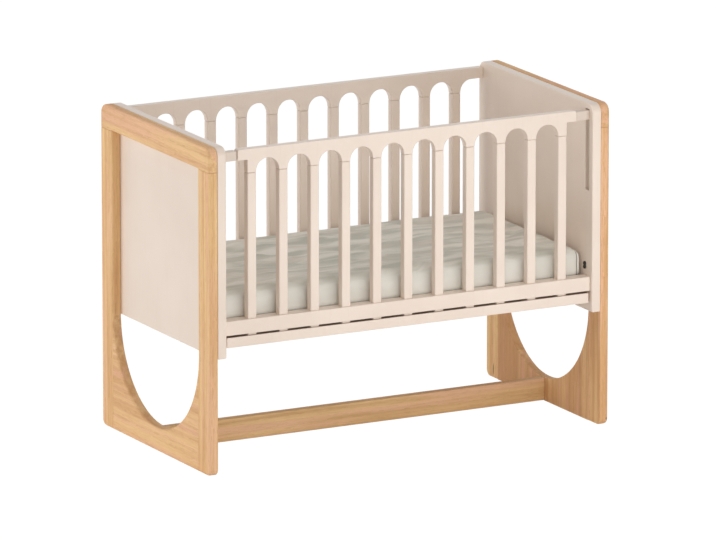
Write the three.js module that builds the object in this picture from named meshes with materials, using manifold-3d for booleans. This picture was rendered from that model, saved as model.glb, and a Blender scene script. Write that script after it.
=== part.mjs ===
// Bedside crib: two arched wooden end frames with painted panels, a drop side whose slats
// slide through a fixed rail, a fixed rear side, a slatted base and a mattress.
// Millimetres. +Z is up, X runs along the crib, and the drop side faces -Y.
// The origin lies on the floor, in the middle of the crib.

import * as THREE from "three";
import { mergeVertices } from "three/addons/utils/BufferGeometryUtils.js";
import Module from "manifold-3d";

const wasm = await Module();
wasm.setup();

// Overall size
const length = 1000;
const width = 531;
const height = 737;

// Fits shared by all pieces
const seatGap = 0.3;
const runningGap = 0.6;
const overrun = 2;

// End frames: posts, top rail, and the foot board with its half-round cut
const frameThickness = 21.5;
const postWidth = 54.3;
const topRailHeight = 54.4;
const footHeight = 53.8;
const frameTopRadius = 21;
const frameBottomRadius = 15;
const frameRound = 5.5;
const postDowelRadius = 4;
const postDowelLength = 28;
const postDowelSpacing = 26;
const footTongueThickness = 8;
const footTongueLength = 12;
const footTongueBottom = 22;
const footTongueHeight = 96;

// Painted end panels and the groove that guides the drop side
const panelThickness = 21.6;
const panelDrop = 20.9;
const panelRound = 3.5;
const grooveDepth = 7;
const grooveEndGap = 2;

// Slats and the arcade boards over them
const slatCount = 11;
const slatWidth = 21.7;
const slatThickness = 18;
const endBay = 58.3;
const slatRound = 2.6;
const boardDrop = 12.2;
const boardCrown = 24.8;
const boardLeg = 1.6;
const boardCornerRadius = 5;
const dowelRadius = 4;
const dowelLength = 12;

// Drop side: setback from the panels' front edges, travel, guides and tie bar
const sideSetback = 12.9;
const sideTravel = 160;
const guideLength = 33.6;
const guideThickness = 18.4;
const guideSetback = 2.7;
const guideBoardGap = 0.7;
const guideHeight = 21.2;
const guideDrop = 3.3;
const guideSpigotRadius = 4;
const guideSpigotLength = 20;
const tieHeight = 23;
const tieBackWall = 3.6;
const tieEndGap = 4;
const tieGap = 4.3;
const tenonDepth = 12;

// Fixed rails
const railTop = 343.3;
const railHeight = 32.5;
const railSetback = 7.8;
const railBackWall = 6.3;
const rearSetback = 3;
const rearRailHeight = 59.8;

// Stretcher between the end frames
const stretcherThickness = 21;
const stretcherSetDown = 0.8;
const stretcherLift = 1.5;
const stretcherRound = 2.5;
const stretcherTenonLength = 12;
const stretcherTenonThickness = 13;
const stretcherTenonHeight = 34;

// Base under the mattress
const ledgerThickness = 20;
const ledgerHeight = 26;
const baseSlatCount = 7;
const baseSlatWidth = 78;
const baseSlatThickness = 12;
const baseSlatEndMargin = 30;

// Mattress
const mattressEndGap = 7.6;
const mattressSideGap = 1.2;
const mattressThickness = 70;
const mattressSeatDepth = 9.3;
const mattressCornerRadius = 24;
const mattressEdgeRadius = 15;
const mattressCrown = 2.5;
const mattressWaist = 2;

// Black bumpers on the end panels
const bumperRadius = 4.5;
const bumperPitch = 8;
const bumperThickness = 3.5;
const bumperRise = 22.5;
const bumperInset = 31;
const bumperShankRadius = 2.2;
const bumperShankLength = 9;

// Screws through the end panels into the rails
const screwHeadRadius = 5;
const screwHeadHeight = 3;
const screwRadius = 2.6;
const screwLength = 52;

// Counts of the faceting
const cornerSteps = 6;
const bottomCornerSteps = 5;
const archSteps = 14;
const openingSteps = 40;
const roundSteps = 3;
const smallRoundSteps = 2;
const pinSides = 12;

// Levels and planes that follow from the sizes
const panelFace = length / 2 - frameThickness - seatGap - panelThickness;
const frameInnerFace = length / 2 - frameThickness;
const postFace = width / 2 - postWidth;
const archCentreHeight = footHeight + postFace;
const stretcherTop = footHeight - stretcherSetDown;
const stretcherTenonBottom = (stretcherTop + stretcherLift - stretcherTenonHeight) / 2;
const slatPitch = (2 * (panelFace - endBay) - slatWidth) / (slatCount - 1);
const archRadius = (slatPitch - slatWidth) / 2;
const boardTop = height - boardDrop;
const archApex = boardTop - boardCrown;
const springing = archApex - archRadius;
const boardSeam = springing - boardLeg;
const boardEnd = panelFace - guideLength - guideBoardGap;
const sideY = -width / 2 + sideSetback + slatThickness / 2;
const guideY = -width / 2 + sideSetback + guideSetback + guideThickness / 2;
const rearY = width / 2 - rearSetback - slatThickness / 2;
const railFrontFace = -width / 2 + railSetback;
const railBackFace = sideY + slatThickness / 2 + runningGap + railBackWall;
const railY = (railFrontFace + railBackFace) / 2;
const railBottom = railTop - railHeight;
const tieBackFace = sideY + slatThickness / 2 + seatGap + tieBackWall;
const tieTop = railBottom - tieGap;
const tieBottom = tieTop - tieHeight;
const rearInnerFace = rearY - slatThickness / 2;
const rearRailBottom = railTop - rearRailHeight;
const panelBottom = rearRailBottom - panelDrop;
const guideTop = boardTop - guideDrop;
const guideBottom = guideTop - guideHeight;
const guideTongue = grooveDepth - runningGap;
const grooveWidth = guideThickness + 2 * runningGap;
const grooveTop = guideTop + grooveEndGap;
const grooveBottom = guideBottom - sideTravel - grooveEndGap;
const grooveCornerRadius = grooveEndGap + runningGap;
const mattressBottom = railTop - mattressSeatDepth;
const mattressLength = 2 * (panelFace - mattressEndGap);
const mattressWidth = 2 * (-railBackFace - mattressSideGap);
const baseSlatBottom = mattressBottom - seatGap - baseSlatThickness;
const ledgerTop = baseSlatBottom - seatGap;
const ledgerBottom = ledgerTop - ledgerHeight;
const ledgerFrontFace = railBackFace + seatGap;
const ledgerRearFace = rearInnerFace - seatGap;
const bumperHeight = railTop + bumperRise;
const bumperY = -width / 2 + bumperInset;

// Finishes
const finish = (color, roughness, metalness = 0) =>
  new THREE.MeshStandardMaterial({ color, roughness, metalness });
const woodFinish = finish(0xe0b27c, 0.55);
const paintFinish = finish(0xefe0d0, 0.5);
const baseFinish = finish(0xdcc7a4, 0.7);
const coverFinish = finish(0xc9c8be, 0.9);
const blackFinish = finish(0x1c1a18, 0.5);
const steelFinish = finish(0xb4b6b8, 0.35, 1);

const crib = new THREE.Group();

function addPiece(name, geometry, material, x = 0, y = 0, z = 0) {
  const mesh = new THREE.Mesh(geometry, material);
  mesh.name = name;
  mesh.position.set(x, y, z);
  crib.add(mesh);
}

// Solids to cut and join
function toSolid(geometry) {
  const bare = geometry.clone();
  bare.deleteAttribute("normal");
  bare.deleteAttribute("uv");
  const merged = mergeVertices(bare);
  const vertProperties = new Float32Array(merged.attributes.position.array);
  const triVerts = new Uint32Array(merged.index.array);
  return new wasm.Manifold(new wasm.Mesh({ numProp: 3, vertProperties, triVerts }));
}

function toGeometry(solid) {
  const mesh = solid.getMesh();
  const geometry = new THREE.BufferGeometry();
  geometry.setAttribute("position", new THREE.BufferAttribute(mesh.vertProperties, 3));
  geometry.setIndex(new THREE.BufferAttribute(mesh.triVerts, 1));
  geometry.computeVertexNormals();
  return geometry;
}

// A block between two corners, given as [low, high] along each axis
function block([x0, x1], [y0, y1], [z0, z1]) {
  const geometry = new THREE.BoxGeometry(x1 - x0, y1 - y0, z1 - z0);
  return geometry.translate((x0 + x1) / 2, (y0 + y1) / 2, (z0 + z1) / 2);
}

// A round pin along an axis, from its start point
function pin(radius, run, axis, x, y, z) {
  const geometry = new THREE.CylinderGeometry(radius, radius, run, pinSides);
  geometry.translate(0, run / 2, 0);
  geometry.applyQuaternion(new THREE.Quaternion().setFromUnitVectors(new THREE.Vector3(0, 1, 0), axis));
  return geometry.translate(x, y, z);
}

const up = new THREE.Vector3(0, 0, 1);
const down = new THREE.Vector3(0, 0, -1);
const along = (side) => new THREE.Vector3(side, 0, 0);

function roundedRectangle(wide, tall, radius) {
  const shape = new THREE.Shape();
  const x = wide / 2 - radius;
  const y = tall / 2 - radius;
  shape.absarc(x, -y, radius, -Math.PI / 2, 0);
  shape.absarc(x, y, radius, 0, Math.PI / 2);
  shape.absarc(-x, y, radius, Math.PI / 2, Math.PI);
  shape.absarc(-x, -y, radius, Math.PI, 1.5 * Math.PI);
  return shape;
}

function prism(shape, run, steps) {
  return new THREE.ExtrudeGeometry(shape, { depth: run, bevelEnabled: false, curveSegments: steps });
}

// A flat piece whose rim is rounded over on one face. That face lies at z = 0 and looks
// along -Z, and the piece is as thick as it says.
function roundedPlate(shape, thickness, round, steps) {
  const geometry = new THREE.ExtrudeGeometry(shape, {
    depth: thickness,
    curveSegments: steps,
    bevelThickness: round,
    bevelSize: round,
    bevelOffset: -round,
    bevelSegments: roundSteps,
  });
  geometry.translate(0, 0, round);
  const reach = length;
  const keep = block([-reach, reach], [-reach, reach], [-reach, thickness]);
  return toGeometry(toSolid(geometry).intersect(toSolid(keep)));
}

// Turns a plate drawn as (Y, Z) so that its rounded face stands at X and looks along X
function standOnEnd(geometry, x, facing) {
  const turn = new THREE.Matrix4().makeBasis(
    new THREE.Vector3(0, -facing, 0),
    new THREE.Vector3(0, 0, 1),
    new THREE.Vector3(-facing, 0, 0),
  );
  turn.setPosition(x, 0, 0);
  return geometry.applyMatrix4(turn);
}

function endOutline(bottom, bottomRadius) {
  const shape = new THREE.Shape();
  const half = width / 2;
  const inset = half - bottomRadius;
  const rise = bottom + bottomRadius;
  shape.absarc(half - frameTopRadius, height - frameTopRadius, frameTopRadius, 0, Math.PI / 2);
  shape.absarc(frameTopRadius - half, height - frameTopRadius, frameTopRadius, Math.PI / 2, Math.PI);
  if (bottomRadius > 0) {
    shape.absarc(-inset, rise, bottomRadius, Math.PI, 1.5 * Math.PI);
    shape.absarc(inset, rise, bottomRadius, 1.5 * Math.PI, 2 * Math.PI);
  } else {
    shape.lineTo(-half, bottom);
    shape.lineTo(half, bottom);
  }
  return shape;
}

// The opening in an end frame: straight sides over a half-round bottom
function frameOpening() {
  const points = [new THREE.Vector2(postFace, height - topRailHeight)];
  for (let step = 0; step <= openingSteps; step += 1) {
    const angle = (-Math.PI * step) / openingSteps;
    const rise = postFace * Math.sin(angle);
    points.push(new THREE.Vector2(postFace * Math.cos(angle), archCentreHeight + rise));
  }
  points.push(new THREE.Vector2(-postFace, height - topRailHeight));
  return new THREE.Path(points);
}

// End frames: one ring, parted into a top rail, two posts and a foot board between them
function addEndFrames() {
  const outline = endOutline(0, frameBottomRadius);
  outline.holes.push(frameOpening());
  const joint = height - topRailHeight;
  const span = [-length, length];
  const upper = toSolid(block(span, [-width, width], [joint + seatGap / 2, 2 * height]));
  const below = [-height, joint - seatGap / 2];
  const middle = toSolid(block(span, [seatGap / 2 - postFace, postFace - seatGap / 2], below));
  for (const [side, label] of [[-1, "left"], [1, "right"]]) {
    const plate = roundedPlate(outline, frameThickness, frameRound, cornerSteps);
    const ring = toSolid(standOnEnd(plate, (side * length) / 2, side));
    const centre = side * (length / 2 - frameThickness / 2);
    let topRail = ring.intersect(upper);
    let foot = ring.intersect(middle).subtract(toSolid(stretcherMortise(side)));
    for (const [end, place] of [[-1, "front"], [1, "rear"]]) {
      const beyond = end > 0 ? [postFace + seatGap / 2, width] : [-width, -postFace - seatGap / 2];
      let post = ring.intersect(toSolid(block(span, beyond, below)));
      post = post.subtract(toSolid(footTongue(centre, end, seatGap)));
      foot = foot.add(toSolid(footTongue(centre, end, 0)));
      for (const offset of [-1, 1]) {
        const y = end * (width / 2 - postWidth / 2) + (offset * postDowelSpacing) / 2;
        const low = joint - overrun;
        const run = postDowelLength + overrun;
        post = post.add(toSolid(pin(postDowelRadius, run, up, centre, y, low)));
        const hole = pin(postDowelRadius + seatGap, run + seatGap, up, centre, y, low);
        topRail = topRail.subtract(toSolid(hole));
      }
      addPiece(`post_${place}_${label}`, toGeometry(post), woodFinish);
    }
    addPiece(`foot_board_${label}`, toGeometry(foot), woodFinish);
    addPiece(`top_rail_${label}`, toGeometry(topRail), woodFinish);
  }
}

// The foot board's tongue into a post, or with a clearance the groove for it
function footTongue(x, end, clearance) {
  const half = footTongueThickness / 2 + clearance;
  const near = postFace - overrun;
  const far = postFace + footTongueLength + clearance;
  return block(
    [x - half, x + half],
    end > 0 ? [near, far] : [-far, -near],
    [footTongueBottom - clearance, footTongueBottom + footTongueHeight + clearance],
  );
}

function stretcherMortise(side) {
  const reach = stretcherTenonLength + seatGap;
  const half = stretcherTenonThickness / 2 + seatGap;
  return block(
    side > 0 ? [frameInnerFace - overrun, frameInnerFace + reach]
      : [-frameInnerFace - reach, overrun - frameInnerFace],
    [-half, half],
    [stretcherTenonBottom - seatGap, stretcherTenonBottom + stretcherTenonHeight + seatGap],
  );
}

// Screws that hold the rails, by the rail's name: where they sit in Y and Z
const railScrews = {
  front_rail: [railY, railTop - railHeight / 2],
  rear_rail: [rearY, railTop - rearRailHeight / 2],
  rear_board: [rearY, (boardTop + archApex) / 2],
};

function screwHole(side, y, z) {
  const outerFace = side * (frameInnerFace - seatGap);
  const head = pin(screwHeadRadius + seatGap, screwHeadHeight + seatGap, along(-side), outerFace, y, z);
  const shank = pin(
    screwRadius + seatGap, screwHeadHeight + screwLength + 2 * seatGap, along(-side), outerFace, y, z,
  );
  return toSolid(head).add(toSolid(shank));
}

function endPanel(side) {
  const plate = roundedPlate(endOutline(panelBottom, 0), panelThickness, panelRound, cornerSteps);
  const face = side * panelFace;
  let solid = toSolid(standOnEnd(plate, face, -side));
  const slot = prism(
    roundedRectangle(grooveWidth, grooveTop - grooveBottom, grooveCornerRadius),
    grooveDepth + overrun,
    bottomCornerSteps,
  );
  slot.translate(0, (grooveTop + grooveBottom) / 2, -overrun);
  standOnEnd(slot, face, -side);
  solid = solid.subtract(toSolid(slot.translate(0, guideY, 0)));
  for (const [y, z] of Object.values(railScrews)) {
    solid = solid.subtract(screwHole(side, y, z));
  }
  const shankHole = pin(
    bumperShankRadius + seatGap,
    bumperShankLength + overrun + seatGap,
    along(side),
    face - side * overrun,
    bumperY,
    bumperHeight,
  );
  return toGeometry(solid.subtract(toSolid(shankHole)));
}

function addEndPanels() {
  addPiece("end_panel_left", endPanel(-1), paintFinish);
  addPiece("end_panel_right", endPanel(1), paintFinish);
}

function addStretcher() {
  const run = 2 * (frameInnerFace - seatGap);
  const tall = stretcherTop - stretcherLift;
  const bar = prism(roundedRectangle(stretcherThickness, tall, stretcherRound), run, roundSteps);
  bar.translate(0, (stretcherTop + stretcherLift) / 2, 0);
  standOnEnd(bar, -run / 2, -1);
  const reach = run / 2 + stretcherTenonLength;
  const tenon = block(
    [-reach, reach],
    [-stretcherTenonThickness / 2, stretcherTenonThickness / 2],
    [stretcherTenonBottom, stretcherTenonBottom + stretcherTenonHeight],
  );
  addPiece("stretcher", toGeometry(toSolid(bar).add(toSolid(tenon))), woodFinish);
}

const slatPlaces = Array.from({ length: slatCount }, (_, k) => (k - (slatCount - 1) / 2) * slatPitch);
const firstLeg = slatPlaces[0] - slatWidth / 2;
const lastLeg = slatPlaces[slatCount - 1] + slatWidth / 2;

// Arcade board: round arches between legs that carry on as the slats. The rear board runs
// from panel to panel and its end bays start with a quarter arch. The drop side's board has
// eased top corners and square end bays.
function arcadeBoard(end, fromPanelToPanel) {
  const shape = new THREE.Shape();
  if (fromPanelToPanel) {
    shape.moveTo(end, boardTop);
    shape.lineTo(-end, boardTop);
  } else {
    const corner = boardCornerRadius;
    shape.absarc(end - corner, boardTop - corner, corner, 0, Math.PI / 2);
    shape.absarc(corner - end, boardTop - corner, corner, Math.PI / 2, Math.PI);
  }
  shape.lineTo(-end, archApex);
  if (fromPanelToPanel) {
    shape.absarc(firstLeg - archRadius, springing, archRadius, Math.PI / 2, 0, true);
  } else {
    shape.lineTo(firstLeg, archApex);
  }
  slatPlaces.forEach((x, k) => {
    shape.lineTo(x - slatWidth / 2, boardSeam);
    shape.lineTo(x + slatWidth / 2, boardSeam);
    if (k < slatCount - 1) {
      shape.absarc(x + slatPitch / 2, springing, archRadius, Math.PI, 0, true);
    }
  });
  if (fromPanelToPanel) {
    shape.absarc(lastLeg + archRadius, springing, archRadius, Math.PI, Math.PI / 2, true);
  } else {
    shape.lineTo(lastLeg, archApex);
  }
  shape.lineTo(end, archApex);
  const board = prism(shape, slatThickness, archSteps);
  board.rotateX(Math.PI / 2);
  board.translate(0, slatThickness / 2, 0);
  let solid = toSolid(board);
  for (const x of slatPlaces) {
    const hole = pin(
      dowelRadius + seatGap, dowelLength + overrun + seatGap, up, x, 0, boardSeam - overrun,
    );
    solid = solid.subtract(toSolid(hole));
  }
  return solid;
}

function addDropSideBoard() {
  let solid = arcadeBoard(boardEnd, false);
  const z = (guideTop + guideBottom) / 2;
  for (const side of [-1, 1]) {
    const hole = pin(
      guideSpigotRadius + seatGap,
      guideSpigotLength + overrun + seatGap,
      along(-side),
      side * (boardEnd + overrun),
      0,
      z,
    );
    solid = solid.subtract(toSolid(hole));
  }
  addPiece("drop_side_board", toGeometry(solid), paintFinish, 0, sideY, 0);
}

// Guides: the block at each end of the board, with a tongue that runs in the panel's groove
function addGuides() {
  const tall = [guideBottom, guideTop];
  const deep = [guideY - guideThickness / 2, guideY + guideThickness / 2];
  for (const [side, label] of [[-1, "left"], [1, "right"]]) {
    const inner = boardEnd + guideBoardGap;
    const outer = panelFace + guideTongue;
    const body = block(side > 0 ? [inner, outer] : [-outer, -inner], deep, tall);
    const spigot = pin(
      guideSpigotRadius,
      guideSpigotLength + guideBoardGap + overrun,
      along(-side),
      side * (inner + overrun),
      sideY,
      (guideTop + guideBottom) / 2,
    );
    const geometry = toGeometry(toSolid(body).add(toSolid(spigot)));
    addPiece(`drop_side_guide_${label}`, geometry, paintFinish);
  }
}

const slatSection = roundedRectangle(slatWidth, slatThickness, slatRound);
const mortiseSection = roundedRectangle(
  slatWidth + 2 * runningGap, slatThickness + 2 * runningGap, slatRound,
);
const socketSection = roundedRectangle(
  slatWidth + 2 * seatGap, slatThickness + 2 * seatGap, slatRound,
);

// A slat that stands on its own z = 0, with a dowel on top and, if asked, one below
function slat(run, dowelBelow) {
  let solid = toSolid(prism(slatSection, run, smallRoundSteps));
  const reach = dowelLength + overrun;
  solid = solid.add(toSolid(pin(dowelRadius, reach, up, 0, 0, run - overrun)));
  if (dowelBelow) {
    solid = solid.add(toSolid(pin(dowelRadius, reach, down, 0, 0, overrun)));
  }
  return toGeometry(solid);
}

function addSlats() {
  const sideBottom = tieTop - tenonDepth + seatGap;
  const rearBottom = railTop + seatGap;
  const sideSlat = slat(boardSeam - seatGap - sideBottom, false);
  const rearSlat = slat(boardSeam - seatGap - rearBottom, true);
  slatPlaces.forEach((x, k) => {
    const number = String(k + 1).padStart(2, "0");
    addPiece(`drop_side_slat_${number}`, sideSlat, paintFinish, x, sideY, sideBottom);
    addPiece(`rear_slat_${number}`, rearSlat, paintFinish, x, rearY, rearBottom);
  });
}

// Tie bar under the fixed rail: it joins the feet of the sliding slats
function addTieBar() {
  const half = panelFace - tieEndGap;
  const deep = [railFrontFace, tieBackFace];
  let solid = toSolid(block([-half, half], deep, [tieBottom, tieTop]));
  for (const x of slatPlaces) {
    const socket = prism(socketSection, tenonDepth + overrun, smallRoundSteps);
    solid = solid.subtract(toSolid(socket.translate(x, sideY, tieTop - tenonDepth)));
  }
  addPiece("drop_side_tie_bar", toGeometry(solid), paintFinish);
}

function cutScrewHoles(solid, name) {
  const [y, z] = railScrews[name];
  return solid.subtract(screwHole(-1, y, z)).subtract(screwHole(1, y, z));
}

function addRails() {
  const half = panelFace - seatGap;
  const frontDepth = [railFrontFace, railBackFace];
  let front = toSolid(block([-half, half], frontDepth, [railBottom, railTop]));
  for (const x of slatPlaces) {
    const mortise = prism(mortiseSection, railHeight + 2 * overrun, smallRoundSteps);
    front = front.subtract(toSolid(mortise.translate(x, sideY, railBottom - overrun)));
  }
  addPiece("front_rail", toGeometry(cutScrewHoles(front, "front_rail")), paintFinish);

  const rearDepth = [rearY - slatThickness / 2, rearY + slatThickness / 2];
  let rear = toSolid(block([-half, half], rearDepth, [rearRailBottom, railTop]));
  for (const x of slatPlaces) {
    const hole = pin(
      dowelRadius + seatGap, dowelLength + overrun + seatGap, down, x, rearY, railTop + overrun,
    );
    rear = rear.subtract(toSolid(hole));
  }
  addPiece("rear_rail", toGeometry(cutScrewHoles(rear, "rear_rail")), paintFinish);

  const board = arcadeBoard(half, true).translate([0, rearY, 0]);
  addPiece("rear_board", toGeometry(cutScrewHoles(board, "rear_board")), paintFinish);
}

// Base: ledgers on the rails, bearers on the panels, and slats across
function addBase() {
  const half = panelFace - seatGap;
  const tall = [ledgerBottom, ledgerTop];
  const front = [ledgerFrontFace, ledgerFrontFace + ledgerThickness];
  const rear = [ledgerRearFace - ledgerThickness, ledgerRearFace];
  addPiece("ledger_front", block([-half, half], front, tall), baseFinish);
  addPiece("ledger_rear", block([-half, half], rear, tall), baseFinish);
  const between = [front[1] + seatGap, rear[0] - seatGap];
  addPiece("bearer_left", block([-half, ledgerThickness - half], between, tall), baseFinish);
  addPiece("bearer_right", block([half - ledgerThickness, half], between, tall), baseFinish);

  const first = -half + baseSlatEndMargin + baseSlatWidth / 2;
  const pitch = (-2 * first) / (baseSlatCount - 1);
  const deep = [ledgerFrontFace, ledgerRearFace];
  const thick = [baseSlatBottom, baseSlatBottom + baseSlatThickness];
  const across = block([-baseSlatWidth / 2, baseSlatWidth / 2], deep, thick);
  for (let k = 0; k < baseSlatCount; k += 1) {
    addPiece(`base_slat_${k + 1}`, across, baseFinish, first + k * pitch, 0, 0);
  }
}

// Mattress: a rounded block with a crowned top, drawn-in sides and soft edges.
// Each ring is an inset of the outline and a height; the top closes in scaled rings.
const edgeAngleShares = [0, 0.25, 0.5, 0.75, 1];
const topRingShares = [0.86, 0.66, 0.42, 0.18];
const mattressCornerSteps = 6;
const mattressSideSteps = 8;
const mattressEndSteps = 5;

function mattressOutline(inset) {
  const x = mattressLength / 2 - mattressCornerRadius;
  const y = mattressWidth / 2 - mattressCornerRadius;
  const radius = mattressCornerRadius - inset;
  const points = [];
  const corners = [[1, -1, -0.5], [1, 1, 0], [-1, 1, 0.5], [-1, -1, 1]];
  corners.forEach(([sx, sy, turn], k) => {
    for (let step = 0; step <= mattressCornerSteps; step += 1) {
      const angle = (turn + step / mattressCornerSteps / 2) * Math.PI;
      points.push([sx * x + radius * Math.cos(angle), sy * y + radius * Math.sin(angle)]);
    }
    const steps = k % 2 === 0 ? mattressEndSteps : mattressSideSteps;
    const [nx, ny] = corners[(k + 1) % 4];
    const angle = (turn + 0.5) * Math.PI;
    const from = [sx * x + radius * Math.cos(angle), sy * y + radius * Math.sin(angle)];
    const to = [nx * x + radius * Math.cos(angle), ny * y + radius * Math.sin(angle)];
    for (let step = 1; step < steps; step += 1) {
      const share = step / steps;
      const waist = mattressWaist * Math.sin(Math.PI * share);
      points.push([
        from[0] + (to[0] - from[0]) * share - waist * Math.cos(angle),
        from[1] + (to[1] - from[1]) * share - waist * Math.sin(angle),
      ]);
    }
  });
  return points;
}

function addMattress() {
  const edge = mattressEdgeRadius;
  const top = mattressBottom + mattressThickness - mattressCrown;
  const rings = [];
  for (const share of edgeAngleShares) {
    const angle = (share * Math.PI) / 2;
    const outline = mattressOutline(edge * (1 - Math.sin(angle)));
    rings.push(outline.map(([x, y]) => [x, y, mattressBottom + edge * (1 - Math.cos(angle))]));
  }
  for (const share of [...edgeAngleShares].reverse()) {
    const angle = (share * Math.PI) / 2;
    const outline = mattressOutline(edge * (1 - Math.sin(angle)));
    rings.push(outline.map(([x, y]) => [x, y, top - edge * (1 - Math.cos(angle))]));
  }
  const rim = rings[rings.length - 1];
  for (const share of topRingShares) {
    const rise = mattressCrown * (1 - share * share);
    rings.push(rim.map(([x, y]) => [x * share, y * share, top + rise]));
  }
  const count = rim.length;
  const vertices = [[0, 0, mattressBottom], ...rings.flat(), [0, 0, top + mattressCrown]];
  const last = vertices.length - 1;
  const faces = [];
  for (let k = 0; k < count; k += 1) {
    const next = (k + 1) % count;
    faces.push([0, 1 + next, 1 + k]);
    for (let ring = 0; ring < rings.length - 1; ring += 1) {
      const a = 1 + ring * count + k;
      const b = 1 + ring * count + next;
      faces.push([a, b, b + count], [a, b + count, a + count]);
    }
    const start = 1 + (rings.length - 1) * count;
    faces.push([start + k, start + next, last]);
  }
  const geometry = new THREE.BufferGeometry();
  geometry.setAttribute("position", new THREE.Float32BufferAttribute(vertices.flat(), 3));
  geometry.setIndex(faces.flat());
  geometry.computeVertexNormals();
  addPiece("mattress", geometry, coverFinish);
}

// Bumpers: two round pads joined one over the other, on a shank in the panel
function addBumpers() {
  for (const [side, label] of [[-1, "left"], [1, "right"]]) {
    const face = side * (panelFace - seatGap);
    const inward = along(-side);
    const low = pin(bumperRadius, bumperThickness, inward, face, bumperY, bumperHeight - bumperPitch / 2);
    const high = pin(bumperRadius, bumperThickness, inward, face, bumperY, bumperHeight + bumperPitch / 2);
    const reach = bumperShankLength + bumperThickness / 2;
    const shank = pin(
      bumperShankRadius, reach, along(side), face - (side * bumperThickness) / 2, bumperY, bumperHeight,
    );
    const solid = toSolid(low).add(toSolid(high)).add(toSolid(shank));
    addPiece(`bumper_${label}`, toGeometry(solid), blackFinish);
  }
}

function addScrews() {
  const profile = [
    [0, 0],
    [screwHeadRadius, 0],
    [screwHeadRadius, screwHeadHeight],
    [screwRadius, screwHeadHeight],
    [screwRadius, screwHeadHeight + screwLength],
    [0, screwHeadHeight + screwLength],
  ].map(([r, h]) => new THREE.Vector2(r, h));
  for (const [side, label] of [[-1, "left"], [1, "right"]]) {
    const turned = new THREE.LatheGeometry(profile, pinSides);
    turned.applyQuaternion(
      new THREE.Quaternion().setFromUnitVectors(new THREE.Vector3(0, 1, 0), along(-side)),
    );
    for (const [name, [y, z]] of Object.entries(railScrews)) {
      const x = side * (frameInnerFace - seatGap);
      addPiece(`screw_${name}_${label}`, turned, steelFinish, x, y, z);
    }
  }
}

addEndFrames();
addEndPanels();
addStretcher();
addDropSideBoard();
addGuides();
addSlats();
addTieBar();
addRails();
addBase();
addMattress();
addBumpers();
addScrews();

export default crib;
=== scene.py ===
"""Bedside crib: the finishes, the mattress, the studio light and the camera.

The crib stands on the floor at the origin. X runs along it, the drop side faces -Y, and the
lengths are metres.
"""

import math

import bmesh
import bpy
from mathutils import Matrix, Vector, noise


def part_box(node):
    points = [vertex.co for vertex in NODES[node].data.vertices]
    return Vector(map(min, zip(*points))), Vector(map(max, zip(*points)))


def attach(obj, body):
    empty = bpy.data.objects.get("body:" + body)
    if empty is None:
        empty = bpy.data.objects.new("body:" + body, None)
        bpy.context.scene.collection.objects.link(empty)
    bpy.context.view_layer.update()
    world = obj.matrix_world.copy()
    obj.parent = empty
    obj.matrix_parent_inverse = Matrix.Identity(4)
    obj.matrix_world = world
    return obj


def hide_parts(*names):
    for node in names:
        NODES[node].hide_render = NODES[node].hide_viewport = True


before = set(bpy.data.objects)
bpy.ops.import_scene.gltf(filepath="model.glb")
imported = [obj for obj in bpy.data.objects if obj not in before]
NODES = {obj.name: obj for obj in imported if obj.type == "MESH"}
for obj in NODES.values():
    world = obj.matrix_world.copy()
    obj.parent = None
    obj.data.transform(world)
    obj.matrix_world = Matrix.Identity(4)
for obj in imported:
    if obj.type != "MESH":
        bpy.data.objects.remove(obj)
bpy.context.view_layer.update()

MM = 0.001
QUARTER = math.pi / 2
SIDES = ("left", "right")


# Small helpers

def held(value, low, high):
    """The value, kept between two limits."""
    return min(max(value, low), high)


def soft(share):
    """A share from 0 to 1, eased at both ends."""
    return share * share * (3 - 2 * share)


def ripple(x, y, z):
    return noise.noise(Vector((x, y, z)))


def add_object(name, data):
    thing = bpy.data.objects.new(name, data)
    bpy.context.scene.collection.objects.link(thing)
    return thing


def coat(mesh, material):
    mesh.materials.clear()
    mesh.materials.append(material)


# Camera, as the photograph was taken

def place_camera():
    camera = bpy.data.cameras.new("camera")
    camera.sensor_fit = "HORIZONTAL"
    camera.sensor_width = 36.0
    camera.lens = 493.7
    camera.clip_start = 1.0
    camera.clip_end = 200.0
    place = (-9.9183, -18.8477, 5.4648)
    across = Vector((0.8847, -0.4661, 0.0)).normalized()
    ahead = Vector((0.4531, 0.8604, -0.2333)).normalized()
    above = across.cross(ahead).normalized()
    across = ahead.cross(above)
    turn = Matrix((across, above, -ahead)).transposed().to_4x4()
    stand = add_object("camera", camera)
    stand.matrix_world = Matrix.Translation(place) @ turn
    bpy.context.scene.camera = stand


place_camera()


# Shaders written as sums

# Places of the colour sockets on a Mix node
MIX_FIRST = 6
MIX_SECOND = 7
MIX_RESULT = 2


class Wire:
    """The output of a shader node, which takes part in sums."""

    def __init__(self, shader, socket):
        self.shader = shader
        self.socket = socket

    def __add__(self, other):
        return self.shader.sum("ADD", self, other)

    __radd__ = __add__

    def __sub__(self, other):
        return self.shader.sum("SUBTRACT", self, other)

    def __rsub__(self, other):
        return self.shader.sum("SUBTRACT", other, self)

    def __mul__(self, other):
        return self.shader.sum("MULTIPLY", self, other)

    __rmul__ = __mul__

    def __truediv__(self, other):
        return self.shader.sum("DIVIDE", self, other)


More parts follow.
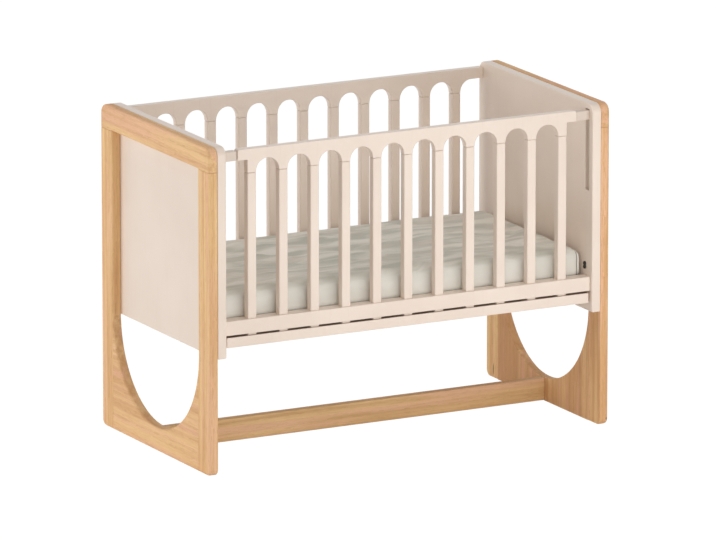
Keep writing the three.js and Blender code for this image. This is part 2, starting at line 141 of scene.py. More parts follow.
class Shader:
    """A material with one Principled surface."""

    def __init__(self, name):
        self.material = bpy.data.materials.new(name)
        self.material.use_nodes = True
        self.nodes = self.material.node_tree.nodes
        self.links = self.material.node_tree.links
        self.surface = self.nodes["Principled BSDF"]

    def add(self, kind, output=0, settings=None, **inputs):
        """Adds a node. The settings come first, then the values or links of its sockets."""
        node = self.nodes.new(kind)
        for key, value in (settings or {}).items():
            setattr(node, key, value)
        for key, value in inputs.items():
            self.feed(node.inputs[key.replace("_", " ")], value)
        return Wire(self, node.outputs[output])

    def feed(self, socket, value):
        if isinstance(value, Wire):
            self.links.new(value.socket, socket)
        elif socket.type == "RGBA" and len(value) == 3:
            socket.default_value = (*value, 1.0)
        else:
            socket.default_value = value

    def sum(self, operation, *terms):
        """A Math node on one value or two."""
        node = self.nodes.new("ShaderNodeMath")
        node.operation = operation
        for socket, term in zip(node.inputs, terms):
            self.feed(socket, term)
        return Wire(self, node.outputs[0])

    def clamp(self, value, low=0.0, high=1.0):
        return self.add("ShaderNodeClamp", Value=value, Min=low, Max=high)

    def step(self, value, low, high, to_low=0.0, to_high=1.0):
        """A soft step from one level to another while the value goes from low to high."""
        return self.add(
            "ShaderNodeMapRange",
            settings={"interpolation_type": "SMOOTHSTEP"},
            Value=value,
            From_Min=low,
            From_Max=high,
            To_Min=to_low,
            To_Max=to_high,
        )

    def mix(self, share, first, second):
        node = self.nodes.new("ShaderNodeMix")
        node.data_type = "RGBA"
        self.feed(node.inputs["Factor"], share)
        self.feed(node.inputs[MIX_FIRST], first)
        self.feed(node.inputs[MIX_SECOND], second)
        return Wire(self, node.outputs[MIX_RESULT])

    def here(self):
        """The object's own coordinates."""
        return self.add("ShaderNodeTexCoord", output="Object")

    def along(self, axis):
        """The object's own coordinate on one axis."""
        return self.add("ShaderNodeSeparateXYZ", output=axis, Vector=self.here())

    def place(self, stretch=(1.0, 1.0, 1.0), turn=(0.0, 0.0, 0.0), shift=(0.0, 0.0, 0.0)):
        """The object's own coordinates, turned and stretched for a pattern."""
        turned = self.add(
            "ShaderNodeMapping", Vector=self.here(), Rotation=turn, Location=shift,
        )
        return self.add("ShaderNodeMapping", Vector=turned, Scale=stretch)

    def clouds(self, where, scale=1.0, detail=2.0, roughness=0.5, distortion=0.0):
        return self.add(
            "ShaderNodeTexNoise",
            Vector=where,
            Scale=scale,
            Detail=detail,
            Roughness=roughness,
            Distortion=distortion,
        )

    def relief(self, height, distance):
        return self.add("ShaderNodeBump", Height=height, Distance=distance, Strength=1.0)

    def finish(self, **inputs):
        for key, value in inputs.items():
            self.feed(self.surface.inputs[key.replace("_", " ")], value)
        return self.material


def colour(red, green, blue):
    """A colour as it looks on a screen, from 0 to 255, made linear."""
    def straighten(level):
        share = level / 255.0
        return share / 12.92 if share <= 0.04045 else ((share + 0.055) / 1.055) ** 2.4

    return straighten(red), straighten(green), straighten(blue)


def changed(tone, *changes):
    """A screen colour with so much added to its red, green and blue, made linear."""
    return colour(*(level + change for level, change in zip(tone, changes)))


# Wood

# Turns that bring a piece's grain onto the pattern's X axis
ALONG = {
    "X": (0.0, 0.0, 0.0),
    "Y": (0.0, 0.0, -QUARTER),
    "Z": (0.0, QUARTER, 0.0),
}


def growth_rings(s, turn, shift, scale, distortion):
    """The tree's yearly rings, cut at a slant and drawn out along the grain."""
    return s.add(
        "ShaderNodeTexWave",
        output="Fac",
        settings={"wave_type": "RINGS", "rings_direction": "X", "wave_profile": "SAW"},
        Vector=s.place((0.11, 1.0, 1.0), turn, (shift[0], 0.052, shift[2] - 0.037)),
        Scale=scale,
        Distortion=distortion,
        Detail=1.0,
        Detail_Scale=8.0,
        Detail_Roughness=0.4,
    )


def part_staves(s, body, deep, width):
    """Gives each stave of a board its own tone, and draws the thin seams between them."""
    count = s.along("Y") / width + 0.35
    number = s.sum("FLOOR", count)
    pick = s.add("ShaderNodeTexWhiteNoise", settings={"noise_dimensions": "1D"}, W=number)
    body = s.mix(pick * 0.8, body, changed(deep, -10, -12, -12))
    seam = s.sum("PINGPONG", count)
    return s.mix(s.step(seam, 0.0, 0.014, 0.5, 0.0), body, colour(150, 108, 74))


def mark_knot(s, body, middle, half):
    """A small dark spot with soft edges, given by its middle and its half sizes."""
    near = s.add(
        "ShaderNodeMapping",
        Vector=s.here(),
        Scale=[1.0 / size for size in half],
        Location=[-place / size for place, size in zip(middle, half)],
    )
    away = s.add(
        "ShaderNodeVectorMath", output="Value", settings={"operation": "LENGTH"}, Vector=near,
    )
    return s.mix(s.step(away, 0.4, 1.1, 0.85, 0.0), body, colour(70, 52, 34))


def oiled_wood(name, along, shift, tones, stave=0.0, knots=()):
    """Pale oiled wood: growth lines and pores along the grain, in staves if a width is given."""
    s = Shader(name)
    pale, deep = tones
    turn = ALONG[along]
    broad = s.clouds(s.place((1.6, 12.0, 12.0), turn, shift), distortion=0.3)
    stripe = s.clouds(s.place((1.7, 70.0, 70.0), turn, shift), detail=2.5, distortion=0.25)
    wide_rings = growth_rings(s, turn, shift, scale=30.0, distortion=7.0)
    close_rings = growth_rings(s, turn, shift, scale=83.0, distortion=14.0)
    fibres = s.clouds(s.place((12.0, 620.0, 620.0), turn, shift), detail=3.0, roughness=0.6)
    dashes = s.clouds(s.place((60.0, 1500.0, 1500.0), turn, shift), detail=1.0)
    pores = s.step(dashes, 0.62, 0.72)
    body = s.mix(s.step(broad * 0.45 + stripe * 0.55, 0.38, 0.62), colour(*deep), colour(*pale))
    rosy = s.clouds(s.place((1.9, 40.0, 40.0), turn, (0.7, 0.3, 0.9)))
    body = s.mix(s.step(rosy, 0.48, 0.64, 0.0, 0.7), body, changed(pale, -3, -14, 6))
    if stave:
        body = part_staves(s, body, deep, stave)
    depth = s.step(stripe, 0.35, 0.65, 0.5, 0.18)
    lines = s.clamp(wide_rings * wide_rings * depth + close_rings * close_rings * 0.12)
    body = s.mix(lines, body, changed(deep, -20, -25, -30))
    body = s.mix(s.step(fibres, 0.45, 0.75, 0.0, 0.16), body, colour(188, 140, 95))
    body = s.mix(pores * 0.22, body, colour(160, 112, 72))
    for middle, half in knots:
        body = mark_knot(s, body, middle, half)
    height = wide_rings * 0.35 + fibres * 0.5 - pores * 0.6
    return s.finish(
        Base_Color=body,
        Roughness=s.clamp(0.52 + fibres * 0.14 + pores * 0.08),
        Normal=s.relief(height, 0.12 * MM),
        Specular_IOR_Level=0.22,
    )


def pale_pine():
    """Planed softwood of the base, unfinished."""
    s = Shader("pale_pine")
    lines = s.clouds(s.place((60.0, 2.5, 60.0)), detail=3.0, distortion=0.6)
    fibres = s.clouds(s.place((700.0, 18.0, 700.0)))
    body = s.mix(s.step(lines, 0.35, 0.7), colour(226, 205, 170), colour(205, 176, 132))
    body = s.mix(fibres * 0.3, body, colour(190, 160, 118))
    return s.finish(
        Base_Color=body,
        Roughness=s.clamp(0.62 + fibres * 0.18),
        Normal=s.relief(lines * 0.4 + fibres * 0.6, 0.15 * MM),
    )


# Lacquer

def groove_place():
    """Where the end panels are cut for the guides of the drop side, which have some play."""
    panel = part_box("end_panel_right")
    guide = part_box("drop_side_guide_right")
    return {
        "x": panel[0].x,
        "end": guide[1].x + 1.5 * MM,
        "low": guide[0].y - 1.2 * MM,
        "high": guide[1].y + 1.2 * MM,
        "top": guide[1].z + 4.0 * MM,
    }


def groove_shade_mask(s, groove):
    """Where a panel's groove gets painted shade: one on its inside and nought elsewhere."""
    fade = 0.2 * MM
    size = s.sum("ABSOLUTE", s.along("X"))
    across = s.along("Y")
    deep_in = s.step(size, groove["x"] + 0.7 * MM, groove["x"] + 2.2 * MM)
    within = s.step(across, groove["low"], groove["low"] + fade)
    for value, key in ((across, "high"), (size, "end"), (s.along("Z"), "top")):
        within = within * s.step(value, groove[key], groove[key] + fade, 1.0, 0.0)
    return deep_in * within


def cream_lacquer(name, tones, groove=None, gap_shade=None):
    """Satin lacquer on wood: a faint spray texture, with the grain just telling through it.

    A panel's groove, and the face in a narrow gap given by its height and colour, get painted
    shade.
    """
    s = Shader(name)
    pale, deep = tones
    spray = s.clouds(s.place(), scale=900.0)
    grain = s.clouds(s.place((160.0, 160.0, 9.0)), detail=3.0)
    patches = s.clouds(s.place(), scale=7.0)
    body = s.mix(s.step(patches, 0.3, 0.7), colour(*deep), colour(*pale))
    body = s.mix(s.step(grain, 0.55, 0.8, 0.0, 0.3), body, changed(deep, -6, -7, -8))
    if groove:
        # Painted shade inside the panel's groove, standing in for the shadow of its walls
        body = s.mix(groove_shade_mask(s, groove), body, colour(210, 193, 177))
    if gap_shade:
        # Painted shade on the face in a narrow gap, where little light reaches
        level, tone = gap_shade
        away = s.sum("ABSOLUTE", s.along("Z") - level)
        body = s.mix(s.step(away, 0.1 * MM, 0.5 * MM, 1.0, 0.0), body, colour(*tone))
    return s.finish(
        Base_Color=body,
        Roughness=s.clamp(0.24 + patches * 0.1 + spray * 0.08),
        Normal=s.relief(spray * 0.6 + grain * 0.5, 0.04 * MM),
        Specular_IOR_Level=0.5,
    )


# Cloth, plastic and steel

def mattress_cloth(seam):
    """Grey woven cover, paler on its border, with a mottled dye and a fine plain weave.

    A dark line of painted shade, the shadow beside the piping, runs round it at the seam's
    distance on X.
    """
    s = Shader("mattress_cloth")
    even = s.place()
    mottle = s.clouds(s.place((6.0, 22.0, 12.0)), detail=3.0, roughness=0.55, distortion=0.5)
    blush = s.clouds(s.place((9.0, 13.0, 9.0), shift=(0.4, 0.2, 0.1)))
    threads = [
        s.add(
            "ShaderNodeTexWave",
            output="Fac",
            settings={"wave_type": "BANDS", "bands_direction": axis, "wave_profile": "SIN"},
            Vector=even,
            Scale=260.0,
            Distortion=0.6,
            Detail=1.0,
        )
        for axis in "XYZ"
    ]
    weave = (threads[0] + threads[1] + threads[2]) * 0.333
    slub = s.clouds(s.place((40.0, 900.0, 900.0)))
    top = s.mix(s.step(mottle, 0.34, 0.66), colour(205, 204, 191), colour(246, 242, 231))
    top = s.mix(s.step(blush, 0.5, 0.72, 0.0, 0.5), top, colour(236, 223, 211))
    border = s.mix(s.step(mottle, 0.3, 0.7), colour(220, 217, 207), colour(231, 228, 219))
    share = s.add("ShaderNodeAttribute", output="Fac", settings={"attribute_name": "border"})
    body = s.mix(share, top, border)
    size = s.sum("ABSOLUTE", s.along("X"))
    # Painted shade: a dark line along the seam, standing in for the shadow beside the piping
    piping_shade = s.step(size, seam - 6.0 * MM, seam - 4.8 * MM)
    piping_shade = piping_shade * s.step(size, seam - 3.2 * MM, seam - 2.2 * MM, 1.0, 0.0)
    body = s.mix(piping_shade * 0.8, body, colour(104, 97, 89))
    body = s.mix(weave * 0.1, body, colour(196, 192, 182))
    body = s.mix(s.step(slub, 0.55, 0.8, 0.0, 0.16), body, colour(232, 228, 218))
    return s.finish(
        Base_Color=body,
        Roughness=s.clamp(0.84 + weave * 0.1),
        Normal=s.relief(weave * 0.7 + slub * 0.5, 0.12 * MM),
        Sheen_Weight=0.15,
        Sheen_Roughness=0.5,
        Specular_IOR_Level=0.25,
    )


def piping_cloth():
    s = Shader("piping_cloth")
    twist = s.clouds(s.place((300.0, 300.0, 300.0)))
    return s.finish(
        Base_Color=s.mix(twist, colour(228, 225, 216), colour(244, 241, 233)),
        Roughness=s.clamp(0.8 + twist * 0.12),
        Normal=s.relief(twist, 0.2 * MM),
        Specular_IOR_Level=0.25,
    )


def black_plastic():
    s = Shader("black_plastic")
    spark = s.clouds(s.place(), scale=1400.0)
    return s.finish(
        Base_Color=s.mix(spark, colour(26, 24, 22), colour(44, 41, 38)),
        Roughness=s.clamp(0.42 + spark * 0.2),
        Normal=s.relief(spark, 0.05 * MM),
    )


def zinc_steel():
    s = Shader("zinc_steel")
    brushed = s.clouds(s.place((20.0, 900.0, 900.0)))
    return s.finish(
        Base_Color=s.mix(brushed, colour(178, 180, 183), colour(206, 207, 208)),
        Metallic=1.0,
        Roughness=s.clamp(0.28 + brushed * 0.2),
        Normal=s.relief(brushed, 0.04 * MM),
    )


# Finishes

# A pair of tones has the paler one first, and a knot has its middle and its half sizes
CREAM = ((243, 226, 211), (239, 221, 205))
LACQUER = cream_lacquer("cream_lacquer", CREAM)
PANEL_LACQUER = cream_lacquer("cream_panel", CREAM, groove=groove_place())
# The guides' cream is darker than the boards' as painted shade, for their recess beside the
# panels
SHADED_GUIDE_LACQUER = cream_lacquer("cream_guide", ((223, 206, 190), (218, 201, 185)))
# The front rail's underside and the tie bar's top face each other across a narrow gap and carry
# painted shade
RAIL_LACQUER = cream_lacquer(
    "cream_rail", CREAM, gap_shade=(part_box("front_rail")[0].z, (150, 120, 92)),
)
TIE_LACQUER = cream_lacquer(
    "cream_tie_bar", CREAM, gap_shade=(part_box("drop_side_tie_bar")[1].z, (184, 160, 138)),
)
KNOTS = (
    ((0.4785, 0.2324, 0.020), (0.003, 0.0022, 0.017)),
    ((0.4954, -0.2655, 0.0143), (0.0022, 0.003, 0.0035)),
)
POST_WOOD = oiled_wood(
    "oiled_wood_upright", "Z", (0.0, 0.0, 0.0), ((252, 214, 156), (227, 176, 126)), knots=KNOTS,
)
RAIL_WOOD = oiled_wood(
    "oiled_wood_level", "Y", (0.31, 0.0, 0.17), ((249, 209, 155), (227, 178, 129)),
)
STAVE_WOOD = oiled_wood(
    "oiled_wood_staves",
    "Z",
    (0.11, 0.23, 0.0),
    ((247, 205, 153), (218, 169, 122)),
    stave=72 * MM,
)
BAR_WOOD = oiled_wood(
    "oiled_wood_lengthwise", "X", (0.0, 0.19, 0.41), ((244, 207, 154), (215, 173, 123)),
)
PINE = pale_pine()
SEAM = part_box("mattress")[1].x - 4.0 * MM
CLOTH = mattress_cloth(SEAM)
PIPING = piping_cloth()
BLACK = black_plastic()
STEEL = zinc_steel()


# Shapes

# The angle between two faces from which their edge counts as sharp
SHARP = math.radians(38)


def is_sharp(edge):
    return len(edge.link_faces) == 2 and edge.calc_face_angle(0.0) > SHARP


def ease(shape, edges, width, segments):
    """Rounds the given edges. The rounding starts at the width on each side of an edge."""
    bmesh.ops.bevel(
        shape,
        geom=edges,
        offset=width,
        offset_type="OFFSET",
        affect="EDGES",
        segments=segments,
        profile=0.5,
        material=-1,
        clamp_overlap=False,
    )


def cut_across(shape, x, kind):
    """Cuts a shape with the plane across X there, and gives the cut's parts of one kind."""
    cut = bmesh.ops.bisect_plane(
        shape,
        geom=shape.verts[:] + shape.edges[:] + shape.faces[:],
        plane_co=(x, 0.0, 0.0),
        plane_no=(1.0, 0.0, 0.0),
    )
    return [part for part in cut["geom_cut"] if isinstance(part, kind)]


def mesh_from(shape, name):
    """A smooth-shaded mesh of a shape, which is used up."""
    mesh = bpy.data.meshes.new(name)
    shape.to_mesh(mesh)
    shape.free()
    mesh.shade_smooth()
    return mesh


def add_piece(name, mesh, material, body):
    piece = add_object(name, mesh)
    coat(mesh, material)
    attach(piece, body)
    return piece


# Rigid pieces: the solids' own shapes with eased edges

def body_of(node):
    return "drop_side" if node.startswith("drop_side") else "frame"


def clean_copy(node, cuts):
    """A copy of a solid's mesh with its triangles joined into flat faces.

    The faces stay parted where the planes at the given distances on X cut them.
    """
    shape = bmesh.new()
    shape.from_mesh(NODES[node].data)
    bmesh.ops.remove_doubles(shape, verts=shape.verts, dist=0.002 * MM)
    for x in cuts:
        for line in cut_across(shape, x, bmesh.types.BMEdge):
            line.seam = True
    bmesh.ops.dissolve_limit(
        shape,
        angle_limit=math.radians(0.6),
        verts=shape.verts,
        edges=shape.edges,
        delimit={"SEAM"},
    )
    return shape


def in_joint(edge, low, high, axes):
    """Whether an edge runs round a mortise, a hole or a peg in a flat face of the solid.

    The axes are those that such faces lie across.
    """
    margin = 2 * MM
    for axis in axes:
        around = [k for k in range(3) if k != axis]
        inside = all(
            low[k] + margin < vert.co[k] < high[k] - margin for vert in edge.verts for k in around
        )
        flat = any(
            abs(face.normal[axis]) > 0.999 and len(face.verts) > 4 for face in edge.link_faces
        )
        if inside and flat:
            return True
    return False


def dress(node, material, width, rims=(), joint_axes=(2,), cuts=()):
    """Replaces a solid with a copy whose sharp edges are eased, but not inside its joints.

    The rims are rounded first, and wider. Each is a rule that picks its edges, with their width.
    """
    low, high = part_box(node)
    shape = clean_copy(node, cuts)
    for on_rim, wider in rims:
        ease(shape, [edge for edge in shape.edges if on_rim(edge)], wider, segments=4)
    shown = [
        edge for edge in shape.edges
        if is_sharp(edge) and not in_joint(edge, low, high, joint_axes)
    ]
    ease(shape, shown, width, segments=2)
    for vert in shape.verts:
        vert.co = [held(at, least, most) for at, least, most in zip(vert.co, low, high)]
    name = node + "_dressed"
    mesh = mesh_from(shape, name)
    mesh.set_sharp_from_angle(angle=math.radians(50))
    piece = add_piece(name, mesh, material, body_of(node))
    even = piece.modifiers.new("even", "WEIGHTED_NORMAL")
    even.mode = "FACE_AREA"
    even.weight = 80
    even.keep_sharp = True
    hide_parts(node)


def outer_rim(plane):
    """Picks the edges where an end frame or panel meets its neighbour, round its outside."""
    band = 40 * MM
    near = 0.05 * MM
    ground = 0.1 * MM
    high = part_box("top_rail_left")[1]

    def touches(vert):
        outside = vert.co.z > high.z - band or abs(vert.co.y) > high.y - band
        return abs(abs(vert.co.x) - plane) < near and (outside or vert.co.z < ground)

    def on_rim(edge):
        return is_sharp(edge) and all(touches(vert) for vert in edge.verts)

    return on_rim


def dress_wood():
    rims = [(outer_rim(-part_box("top_rail_left")[1].x), 2.4 * MM)]
    for side in SIDES:
        dress(f"top_rail_{side}", RAIL_WOOD, 0.8 * MM, rims=rims)
        foot = STAVE_WOOD if side == "right" else RAIL_WOOD
        dress(f"foot_board_{side}", foot, 0.7 * MM)
        for place in ("front", "rear"):
            post = f"post_{place}_{side}"
            dress(post, POST_WOOD, 0.8 * MM, rims=rims, joint_axes=(1, 2))
    dress("stretcher", BAR_WOOD, 0.7 * MM)


def bay_middles():
    """The places on X halfway between neighbouring slats."""
    boxes = [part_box(node) for node in sorted(NODES) if node.startswith("rear_slat")]
    middles = [(low.x + high.x) / 2 for low, high in boxes]
    return [(first + second) / 2 for first, second in zip(middles, middles[1:])]


def dress_lacquered():
    rims = [(outer_rim(-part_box("end_panel_left")[0].x), 1.8 * MM)]
    for side in SIDES:
        dress(f"end_panel_{side}", PANEL_LACQUER, 0.8 * MM, rims=rims)
        dress(f"drop_side_guide_{side}", SHADED_GUIDE_LACQUER, 1.2 * MM)
    for board in ("drop_side_board", "rear_board"):
        dress(board, LACQUER, 1.3 * MM)
    rails = (
        ("drop_side_tie_bar", TIE_LACQUER),
        ("front_rail", RAIL_LACQUER),
        ("rear_rail", LACQUER),
    )
    for rail, material in rails:
        dress(rail, material, 1.4 * MM, cuts=bay_middles())
    for node in NODES:
        if "_slat_" in node and not node.startswith("base"):
            dress(node, LACQUER, 1.5 * MM)


def dress_base():
    for node in NODES:
        if node.startswith(("ledger", "bearer", "base_slat")):
            dress(node, PINE, 1.5 * MM)


dress_wood()
dress_lacquered()
dress_base()


# Small fittings

def round_head(shape, centre, facing, radius, height):
    """A round head with a soft rim and a dished face."""
    turn = Vector((0.0, 0.0, 1.0)).rotation_difference(facing).to_matrix().to_4x4()
    place = Matrix.Translation(centre) @ turn
    made = bmesh.ops.create_cone(
        shape,
        cap_ends=True,
        segments=32,
        radius1=radius,
        radius2=radius,
        depth=height,
        matrix=place @ Matrix.Translation((0.0, 0.0, height / 2)),
    )
    new = set(made["verts"])

    def at_top(vert):
        return vert in new and (vert.co - centre).dot(facing) > height * 0.9

    rim = [edge for edge in shape.edges if all(at_top(vert) for vert in edge.verts)]
    ease(shape, rim, radius * 0.3, segments=4)
    caps = [
        face for face in shape.faces
        if len(face.verts) > 8 and face.normal.dot(facing) > 0.99
        and (face.calc_center_median() - centre).length < height * 1.2
    ]
    bmesh.ops.inset_region(shape, faces=caps, thickness=radius * 0.22, depth=-height * 0.22)


def dress_bumpers():
    """Each bumper is two round heads on an end panel's inner face and a shank into the panel."""
    height = 3.5 * MM
    shank_radius = 2.0 * MM
    shank_length = 9 * MM
    shank_depth = 4.2 * MM
    for side, sign in zip(SIDES, (-1.0, 1.0)):
        low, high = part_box(f"bumper_{side}")
        facing = Vector((-sign, 0.0, 0.0))
        radius = (high.y - low.y) / 2
        inner = low.x if sign > 0 else high.x
        face = inner + sign * height
        middle = (low.y + high.y) / 2
        shape = bmesh.new()
        for level in (low.z + radius, high.z - radius):
            round_head(shape, Vector((face, middle, level)), facing, radius, height)
        shank = Matrix.Translation((face + sign * shank_depth, middle, (low.z + high.z) / 2))
        bmesh.ops.create_cone(
            shape,
            cap_ends=True,
            segments=16,
            radius1=shank_radius,
            radius2=shank_radius,
            depth=shank_length,
            matrix=shank @ Matrix.Rotation(QUARTER, 4, "Y"),
        )
        bmesh.ops.recalc_face_normals(shape, faces=shape.faces)
        name = f"bumper_{side}_moulded"
        mesh = mesh_from(shape, name)
        mesh.set_sharp_from_angle(angle=math.radians(45))
        piece = add_piece(name, mesh, BLACK, "frame")
        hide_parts(f"bumper_{side}")


def finish_screws():
    """The screws are hidden, so they keep the solids' own shapes."""
    for node, screw in NODES.items():
        if node.startswith("screw"):
            coat(screw.data, STEEL)


dress_bumpers()
finish_screws()


# Mattress: a foam block in a cloth cover that swells and wrinkles

def mattress_block():
    """The foam block in its cover, a little small, because the cover swells.

    Its upper edges are rounder than its lower ones.
    """
    low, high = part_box("mattress")
    middle = (low + high) / 2
    slack = Vector((0.5 * MM, 1.5 * MM, 3.5 * MM))
    sink = Vector((0.0, 0.0, 1.5 * MM))
    shape = bmesh.new()
    bmesh.ops.create_cube(shape, size=1.0)
    bmesh.ops.scale(shape, vec=high - low - 2 * slack, verts=shape.verts)
    bmesh.ops.translate(shape, vec=middle - sink, verts=shape.verts)
    upright = [
        edge for edge in shape.edges if abs(edge.verts[0].co.z - edge.verts[1].co.z) > 10 * MM
    ]
    ease(shape, upright, 10 * MM, segments=6)
    for upper, width in ((True, 16 * MM), (False, 8 * MM)):
        level = [
            edge for edge in shape.edges
            if is_sharp(edge) and (edge.verts[0].co.z > middle.z) == upper
        ]
        ease(shape, level, width, segments=6)
    return mesh_from(shape, "mattress_cover")


def apply_modifiers(piece):
    evaluated = piece.evaluated_get(bpy.context.evaluated_depsgraph_get())
    mesh = bpy.data.meshes.new_from_object(evaluated)
    old = piece.data
    piece.modifiers.clear()
    piece.data = mesh
    bpy.data.meshes.remove(old)


def normals_of(piece):
    return [vert.normal.copy() for vert in piece.data.vertices]


def run_cloth(piece):
    """Lets air pressure blow the cover up for a few frames."""
    frames = 20
    cloth = piece.modifiers.new("cover", "CLOTH")
    cloth.settings.quality = 6
    cloth.settings.mass = 0.35
    cloth.settings.tension_stiffness = 40
    cloth.settings.compression_stiffness = 40
    cloth.settings.shear_stiffness = 15
    cloth.settings.bending_stiffness = 2.0
    cloth.settings.use_pressure = True
    cloth.settings.uniform_pressure_force = 4.0
    cloth.settings.effector_weights.gravity = 0.0
    cloth.point_cache.frame_start = 1
    cloth.point_cache.frame_end = frames
    for step in range(1, frames + 1):
        bpy.context.scene.frame_set(step)
        bpy.context.view_layer.update()
    apply_modifiers(piece)
    bpy.context.scene.frame_set(1)


def swell(piece, least, most):
    """Blows the cover up. The foam keeps each point from moving in by much, or out by far."""
    remesh = piece.modifiers.new("even", "REMESH")
    remesh.mode = "VOXEL"
    remesh.voxel_size = 6 * MM
    apply_modifiers(piece)
    start = [vert.co.copy() for vert in piece.data.vertices]
    outward = normals_of(piece)
    run_cloth(piece)
    for vert, rest, normal in zip(piece.data.vertices, start, outward):
        move = (vert.co - rest).dot(normal)
        vert.co = rest + normal * held(move, least, most)


def fold_height(x, y):
    """The cover's loose folds: long soft ridges that run mostly along the mattress."""
    drift = ripple(x * 5.0, y * 3.4, 4.7)
    course = y * 16.0 + x * 1.2 + drift * 3.0
    ridge = ripple(x * 5.2, course, 1.3)
    second = ripple(x * 8.5 + 3.0, course * 1.8, 8.1)
    third = ripple(x * 12.0, y * 36.0, 2.2)
    return (ridge * 6.4 + second * 3.4 + third * 1.0) * MM


def end_bulge(x, z, low, high):
    """How far the foam pushes an end of the cover out, most at half its height."""
    reach = 40 * MM
    most = 4 * MM
    share = held(1.0 - (high.x - abs(x)) / reach, 0.0, 1.0)
    rise = (2 * z - low.z - high.z) / (high.z - low.z)
    return math.copysign(most * soft(share) * (1.0 - 0.4 * rise * rise), x)


def wrinkle(piece):
    """Lays the folds on the top and lighter pulls down the sides, and swells the ends.

    The folds leave a flat rim and grow to their full height behind it. The sides keep a little
    play inside the long rails.
    """
    flat_rim = 8 * MM
    growth = 34 * MM
    past_box = 4 * MM
    play = 0.4 * MM
    low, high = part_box("mattress")
    middle = (low.z + high.z) / 2
    for vert, normal in zip(piece.data.vertices, normals_of(piece)):
        co = vert.co.copy()
        if co.z > middle:
            edge = min(co.x - low.x, high.x - co.x, co.y - low.y, high.y - co.y)
            inside = held((edge - flat_rim) / growth, 0.0, 1.0)
            co.z += fold_height(co.x, co.y) * max(0.0, normal.z) * soft(inside)
        side = 1.0 - abs(normal.z)
        if side > 0.2:
            run = co.x if abs(normal.y) > abs(normal.x) else co.y
            pull = ripple(run * 22.0, co.z * 7.0, co.y * 2.0 + 5.0)
            fine = ripple(run * 60.0 + co.z * 30.0, co.z * 12.0, 7.0)
            co += normal * (pull * 1.3 + fine * 0.5) * MM * side
        co.x += end_bulge(co.x, co.z, low, high)
        co.x = held(co.x, low.x - past_box, high.x + past_box)
        co.y = held(co.y, low.y + play, high.y - play)
        co.z = held(co.z, low.z, high.z + past_box)
        vert.co = co


def sew_groove(piece, x):
    """Draws the cover in along the piping's seam."""
    width = 8 * MM
    depth = 1.8 * MM
    for vert, normal in zip(piece.data.vertices, normals_of(piece)):
        near = 1.0 - min(1.0, abs(vert.co.x - x) / width)
        vert.co -= normal * depth * near


def mark_border(piece):
    """Marks how far each point belongs to the cover's side border."""
    share = piece.data.attributes.new("border", "FLOAT", "POINT")
    sides = [held((0.85 - abs(normal.z)) / 0.3, 0.0, 1.0) for normal in normals_of(piece)]
    share.data.foreach_set("value", sides)


def end_loop(piece, x):
    """Points round the mattress where the plane at x cuts it."""
    shape = bmesh.new()
    shape.from_mesh(piece.data)
    cut = cut_across(shape, x, bmesh.types.BMVert)
    left = set(cut)
    here = max(cut, key=lambda vert: vert.co.z)
    points = []
    while here is not None:
        points.append(here.co.copy())
        left.discard(here)
        ahead = [edge.other_vert(here) for edge in here.link_edges]
        here = next((vert for vert in ahead if vert in left), None)
    shape.free()
    return points


def smooth_loop(points, times):
    count = len(points)
    for _ in range(times):
        points = [
            (points[k - 1] + points[k] * 2 + points[(k + 1) % count]) / 4 for k in range(count)
        ]
    return points


def add_piping(piece, x, label):
    """A cord sewn into the seam round one end of the cover."""
    name = f"mattress_piping_{label}"
    points = smooth_loop(end_loop(piece, x), times=6)[::2]
    line = bpy.data.curves.new(name, "CURVE")
    line.dimensions = "3D"
    line.bevel_depth = 2.0 * MM
    line.bevel_resolution = 3
    spline = line.splines.new("POLY")
    spline.points.add(len(points) - 1)
    for point, co in zip(spline.points, points):
        point.co = (*co, 1.0)
    spline.use_cyclic_u = True
    holder = add_object(name, line)
    bpy.context.view_layer.update()
    evaluated = holder.evaluated_get(bpy.context.evaluated_depsgraph_get())
    mesh = bpy.data.meshes.new_from_object(evaluated)
    bpy.data.objects.remove(holder)
    mesh.shade_smooth()
    add_piece(name, mesh, PIPING, "frame")


def make_mattress():
    piece = add_piece("mattress_cover", mattress_block(), CLOTH, "frame")
    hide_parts("mattress")
    swell(piece, least=-0.3 * MM, most=4 * MM)
    wrinkle(piece)
    seams = {"left": -SEAM, "right": SEAM}
    for x in seams.values():
        sew_groove(piece, x)
    piece.data.shade_smooth()
    mark_border(piece)
    for label, x in seams.items():
        add_piping(piece, x, label)
    smooth = piece.modifiers.new("smooth", "SUBSURF")
    smooth.levels = 1
    smooth.render_levels = 1


make_mattress()


# Studio: a plain pale floor, a white surround and soft lamps

WHITE = (1.0, 1.0, 1.0, 1.0)


def seen_as_white(nodes, links):
    """One for rays from the camera, a mirror or glass, and nought for the rays that light."""
    path = nodes.new("ShaderNodeLightPath")
    total = path.outputs["Is Camera Ray"]
    for kind in ("Is Glossy Ray", "Is Transmission Ray"):
        either = nodes.new("ShaderNodeMath")
        either.operation = "MAXIMUM"
        links.new(total, either.inputs[0])
        links.new(path.outputs[kind], either.inputs[1])
        total = either.outputs[0]
    return total


def blend_surfaces(nodes, links, share, first, second, output):
    """Shows a mix of two surfaces, by the share of the second."""
    blend = nodes.new("ShaderNodeMixShader")
    for source, socket in zip((share, first, second), blend.inputs):
        links.new(source, socket)
    links.new(blend.outputs[0], nodes[output].inputs["Surface"])


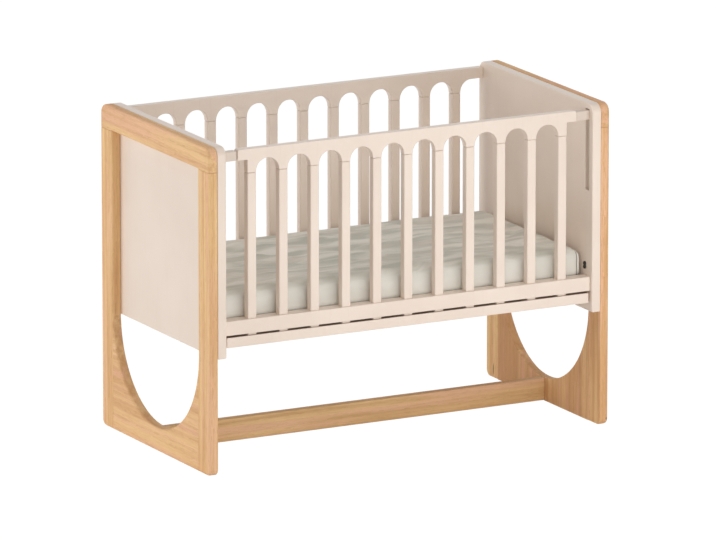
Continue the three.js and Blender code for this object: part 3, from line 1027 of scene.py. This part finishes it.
def add_glow(nodes, kind, strength):
    """A plain white source of light."""
    glow = nodes.new(kind)
    glow.inputs["Color"].default_value = WHITE
    glow.inputs["Strength"].default_value = strength
    return glow.outputs[0]


def lay_floor():
    s = Shader("studio_floor")
    speck = s.clouds(s.place(), scale=30.0)
    tint = s.mix(speck, (0.9, 0.9, 0.9), (0.93, 0.93, 0.93))
    s.finish(Base_Color=tint, Roughness=0.9, Specular_IOR_Level=0.1)
    glow = add_glow(s.nodes, "ShaderNodeEmission", 1.1)
    share = Wire(s, seen_as_white(s.nodes, s.links)) * 0.9
    plain = s.surface.outputs[0]
    blend_surfaces(s.nodes, s.links, share.socket, plain, glow, "Material Output")
    shape = bmesh.new()
    bmesh.ops.create_grid(shape, x_segments=1, y_segments=1, size=60.0)
    mesh = mesh_from(shape, "studio_floor")
    coat(mesh, s.material)
    floor = add_object("studio_floor", mesh)


def light_world(level):
    world = bpy.data.worlds.new("surround")
    bpy.context.scene.world = world
    world.use_nodes = True
    nodes, links = world.node_tree.nodes, world.node_tree.links
    base = nodes["Background"]
    base.inputs["Strength"].default_value = level
    base.inputs["Color"].default_value = WHITE
    white = add_glow(nodes, "ShaderNodeBackground", 1.0)
    share = seen_as_white(nodes, links)
    blend_surfaces(nodes, links, share, base.outputs[0], white, "World Output")


def hang_lamp(name, place, aim, size, power):
    lamp = bpy.data.lights.new(name, "AREA")
    lamp.shape = "RECTANGLE"
    lamp.size, lamp.size_y = size
    lamp.energy = power
    stand = add_object(name, lamp)
    stand.location = place
    stand.rotation_mode = "QUATERNION"
    stand.rotation_quaternion = (Vector(aim) - Vector(place)).to_track_quat("-Z", "Y")


lay_floor()
light_world(level=0.345)
hang_lamp(
    "front_lamp", place=(0.25, -1.8, 0.5), aim=(0.1, 0.0, 0.45), size=(2.3, 1.0), power=15.2,
)
hang_lamp(
    "left_lamp", place=(-4.4, 1.3, 0.9), aim=(0.0, 0.0, 0.35), size=(3.0, 2.0), power=82.0,
)
hang_lamp(
    "top_lamp", place=(0.0, -0.3, 2.6), aim=(0.0, 0.0, 0.4), size=(2.4, 1.6), power=10.8,
)

bpy.context.scene.view_settings.view_transform = "Standard"
